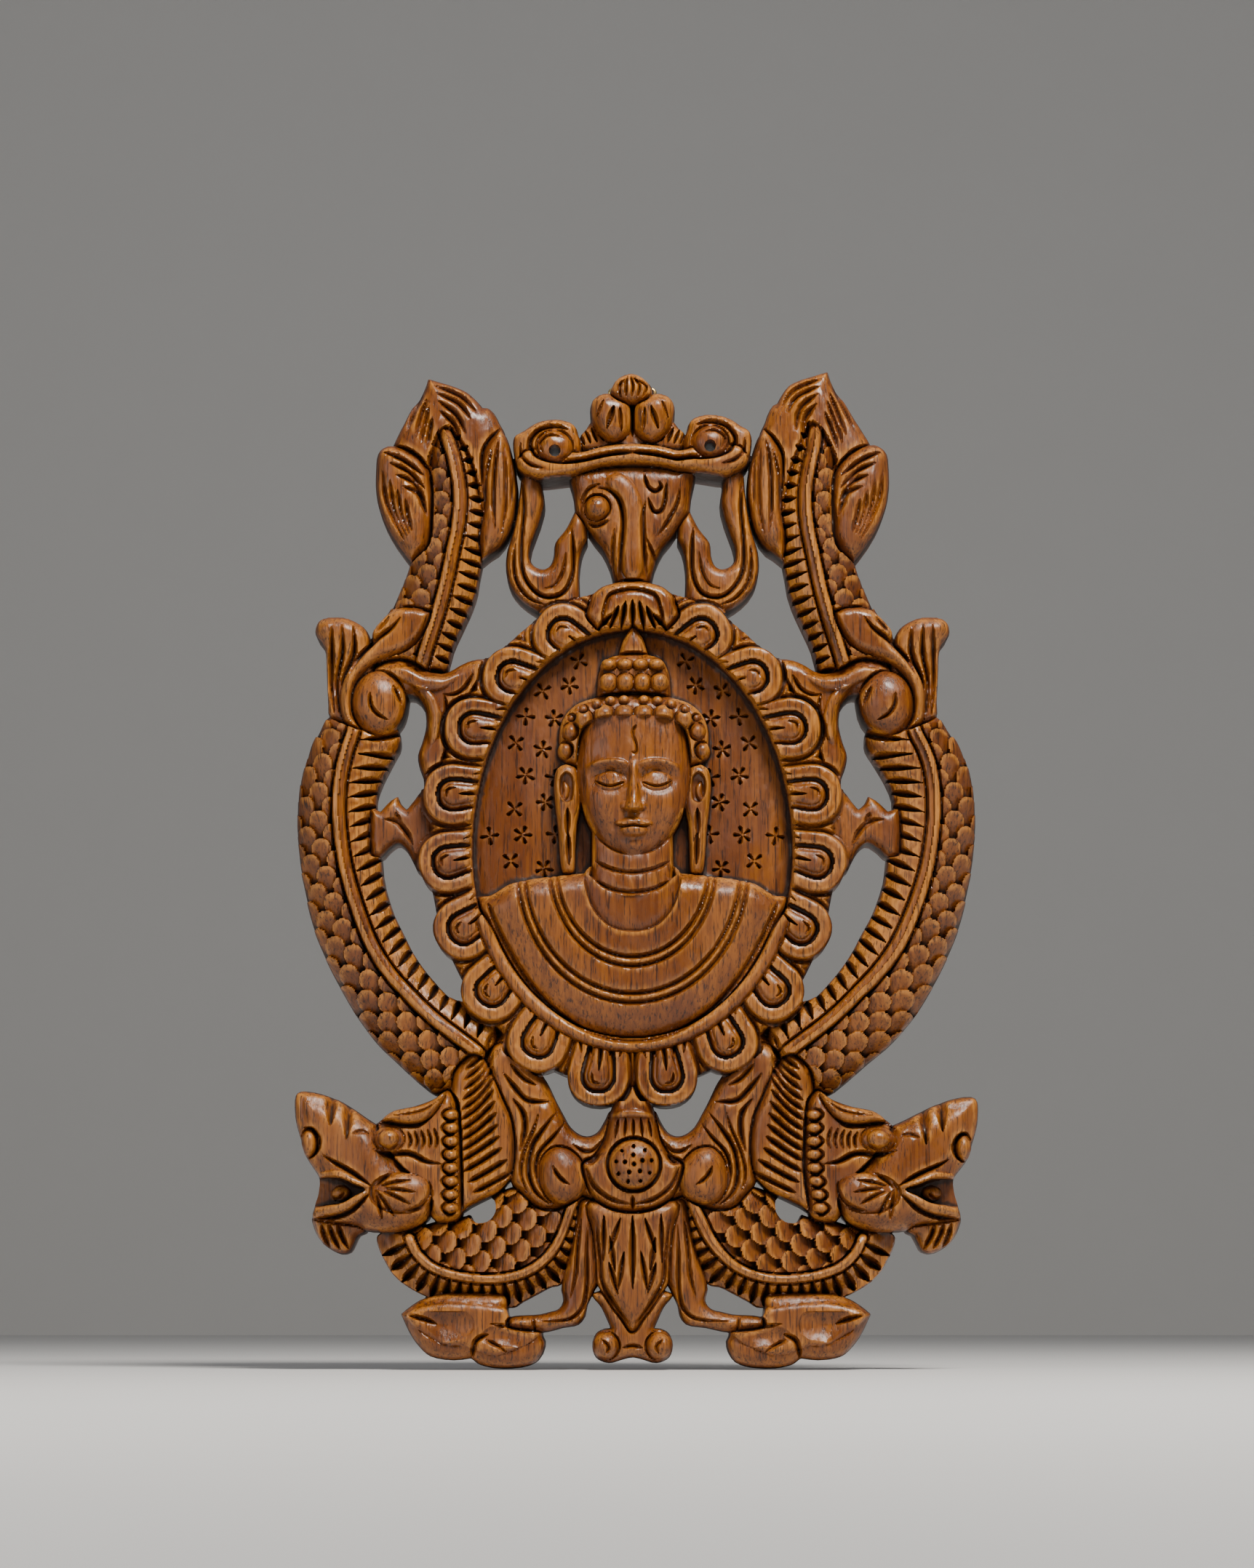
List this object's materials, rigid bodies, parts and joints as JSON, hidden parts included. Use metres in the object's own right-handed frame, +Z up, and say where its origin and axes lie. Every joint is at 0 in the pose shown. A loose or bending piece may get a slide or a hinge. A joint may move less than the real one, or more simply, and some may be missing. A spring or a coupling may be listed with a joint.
{
  "type": "buddha wall hanging",
  "caption": "Carved wooden wall plaque: a calm seated figure in a flame ring held by two scaled dragons, with a brass D-ring hanger at the back.",
  "frame": {"origin": "centre of the D-ring's bar in the hanger's roll at the top of the back", "axes": "+Z up, carved front faces -Y, +X to the right seen from the front"},
  "size_m": [0.2241, 0.0339, 0.3298],
  "materials": {
    "wood": "varnished",
    "brass": "polished"
  },
  "bodies": {
    "panel": {"carved_panel": "wood", "hanger_strap": "brass", "hanger_screw": "brass"},
    "ring": {"hanger_ring": "brass"}
  },
  "joints": [
    {"name": "ring_swing", "type": "hinge", "parent": "panel", "child": "ring", "pos_m": [0, 0, 0], "axis": [1, 0, 0], "range_deg": [0, 180]}
  ]
}
